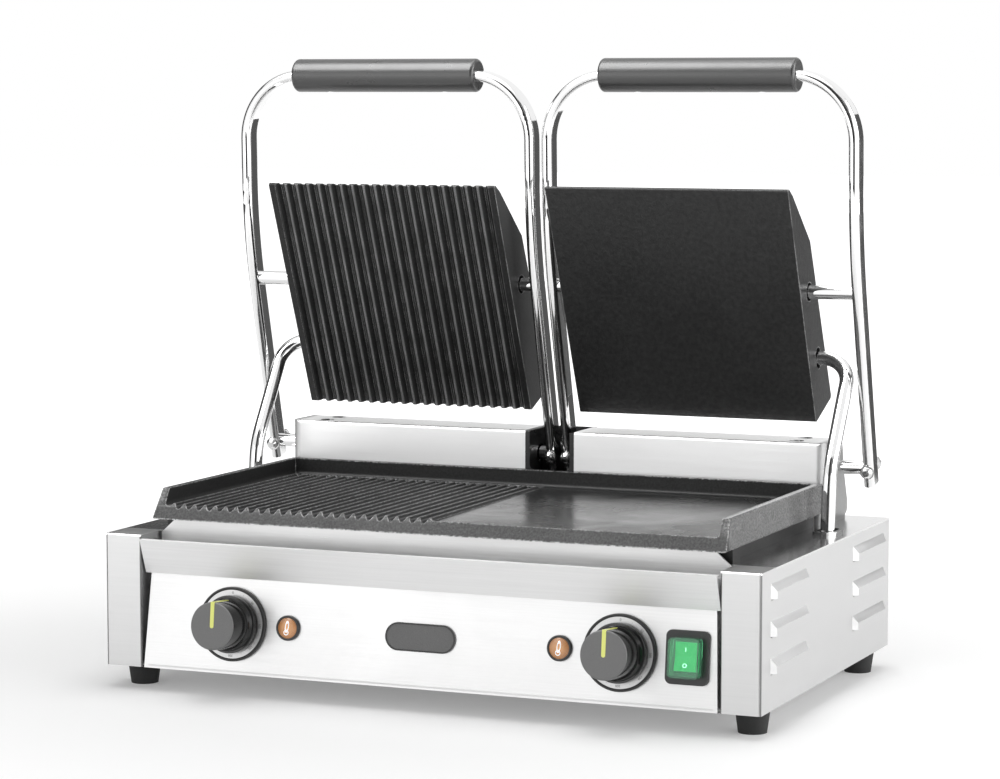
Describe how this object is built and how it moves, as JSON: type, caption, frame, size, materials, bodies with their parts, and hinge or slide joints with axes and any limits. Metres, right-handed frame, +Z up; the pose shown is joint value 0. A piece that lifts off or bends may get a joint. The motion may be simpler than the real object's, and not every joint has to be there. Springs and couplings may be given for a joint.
{
  "type": "double contact grill",
  "caption": "Countertop panini press with a half-ribbed cast lower plate and cast upper plates on hinged frames that swing down over it, with dials, drip tray and switch.",
  "frame": {"origin": "on the worktop under the middle of the outline, lids open, midway between the knobs' front and the cable gland's end", "axes": "+X to the user's right, +Y to the rear, away from the controls, +Z up; the longest side lies along X"},
  "size_m": [0.578, 0.3941, 0.5204],
  "materials": {
    "stainless": "brushed stainless sheet",
    "polished_steel": "polished bar and tube",
    "bright_steel": "zinc-plated fasteners",
    "cast_iron": "black enamelled, fine matt grain",
    "heater_sheath": "dull oxidised sheath",
    "black_bracket": "black satin paint",
    "bearing_steel": "grey primed steel",
    "bush_bronze": "oiled bronze",
    "spring_steel": "dark drawn wire",
    "grip_plastic": "black satin moulding",
    "knob_plastic": "dark grey satin, glossy skirt",
    "dial_metal": "silver scale in a black rim",
    "badge_metal": "bare dark plate",
    "bezel_plastic": "black gloss moulding",
    "lens_amber": "amber translucent",
    "hood_green": "green translucent cap",
    "rocker_green": "green rocker",
    "foot_rubber": "black rubber",
    "grommet_metal": "pressed grommet",
    "thermostat_body": "plain case",
    "terminal_plastic": "cream block",
    "gland_plastic": "black nylon"
  },
  "bodies": {
    "base": {"badge_plate": "badge_metal", "base_pan": "stainless", "bearing_blocks": "bearing_steel", "bearing_bushes": "bush_bronze", "cable_gland": "gland_plastic", "case_screws": "bright_steel", "conduit_grommets": "grommet_metal", "deck_plate": "stainless", "dials": "dial_metal", "element_clamps": "stainless", "fascia_panel": "stainless", "heat_shield": "stainless", "hinge_bracket": "black_bracket", "hinge_cover_left": "stainless", "hinge_cover_right": "stainless", "lamp_bezels": "bezel_plastic", "lamp_lenses": "lens_amber", "lower_element_left": "heater_sheath", "lower_element_right": "heater_sheath", "lower_plate": "cast_iron", "rear_panel": "stainless", "rubber_feet": "foot_rubber", "side_panel_left": "stainless", "side_panel_right": "stainless", "switch_bezel": "bezel_plastic", "switch_hood": "hood_green", "terminal_block": "terminal_plastic", "thermostats": "thermostat_body", "torsion_springs": "spring_steel", "trough_panel": "stainless"},
    "drip_tray": {"drip_tray": "stainless"},
    "rocker": {"switch_rocker": "rocker_green"},
    "lid_left": {"bail_left": "polished_steel", "axle_left": "polished_steel", "axle_bolts_left": "bright_steel", "grip_top_left": "grip_plastic", "grip_base_left": "grip_plastic", "grip_screws_left": "bright_steel", "plate_rod_left": "polished_steel", "rod_collars_left": "bright_steel"},
    "plate_left": {"upper_plate_left": "cast_iron", "plate_cover_left": "stainless", "upper_element_left": "heater_sheath"},
    "conduit_left": {"conduit_left": "polished_steel"},
    "knob_left": {"knob_left": "knob_plastic", "spindle_left": "bearing_steel"},
    "lid_right": {"bail_right": "polished_steel", "axle_right": "polished_steel", "axle_bolts_right": "bright_steel", "grip_top_right": "grip_plastic", "grip_base_right": "grip_plastic", "grip_screws_right": "bright_steel", "plate_rod_right": "polished_steel", "rod_collars_right": "bright_steel"},
    "plate_right": {"upper_plate_right": "cast_iron", "plate_cover_right": "stainless", "upper_element_right": "heater_sheath"},
    "conduit_right": {"conduit_right": "polished_steel"},
    "knob_right": {"knob_right": "knob_plastic", "spindle_right": "bearing_steel"}
  },
  "joints": [
    {"name": "lid_left_swing", "type": "hinge", "parent": "base", "child": "lid_left", "pos_m": [0, 0.14062, 0.176], "axis": [1, 0, 0], "range_deg": [0, 75.5]},
    {"name": "plate_left_tilt", "type": "hinge", "parent": "lid_left", "child": "plate_left", "pos_m": [0, 0.10212, 0.326], "axis": [1, 0, 0], "range_deg": [-12, 2]},
    {"name": "conduit_left_turn", "type": "hinge", "parent": "plate_left", "child": "conduit_left", "pos_m": [0, 0.12887, 0.2686], "axis": [1, 0, 0], "range_deg": [-14, 2]},
    {"name": "knob_left_turn", "type": "hinge", "parent": "base", "child": "knob_left", "pos_m": [-0.169, -0.1581, 0.05978], "axis": [0, -0.9945, 0.1045], "range_deg": [-270, 0]},
    {"name": "lid_right_swing", "type": "hinge", "parent": "base", "child": "lid_right", "pos_m": [0, 0.14062, 0.176], "axis": [1, 0, 0], "range_deg": [0, 75.5]},
    {"name": "plate_right_tilt", "type": "hinge", "parent": "lid_right", "child": "plate_right", "pos_m": [0, 0.10212, 0.326], "axis": [1, 0, 0], "range_deg": [-12, 2]},
    {"name": "conduit_right_turn", "type": "hinge", "parent": "plate_right", "child": "conduit_right", "pos_m": [0, 0.12887, 0.2686], "axis": [1, 0, 0], "range_deg": [-14, 2]},
    {"name": "knob_right_turn", "type": "hinge", "parent": "base", "child": "knob_right", "pos_m": [0.169, -0.1581, 0.05978], "axis": [0, -0.9945, 0.1045], "range_deg": [-270, 0]},
    {"name": "rocker_tilt", "type": "hinge", "parent": "base", "child": "rocker", "pos_m": [0.2245, -0.15511, 0.05946], "axis": [1, 0, 0], "range_deg": [0, 12]},
    {"name": "tray_slide", "type": "slide", "parent": "base", "child": "drip_tray", "axis": [0, -1, 0], "range_m": [0, 0.06]}
  ],
  "couplings": [
    {"joint": "plate_left_tilt", "follows": "lid_left_swing", "ratio": -0.1087},
    {"joint": "conduit_left_turn", "follows": "lid_left_swing", "ratio": -0.1497},
    {"joint": "plate_right_tilt", "follows": "lid_right_swing", "ratio": -0.1087},
    {"joint": "conduit_right_turn", "follows": "lid_right_swing", "ratio": -0.1497}
  ]
}
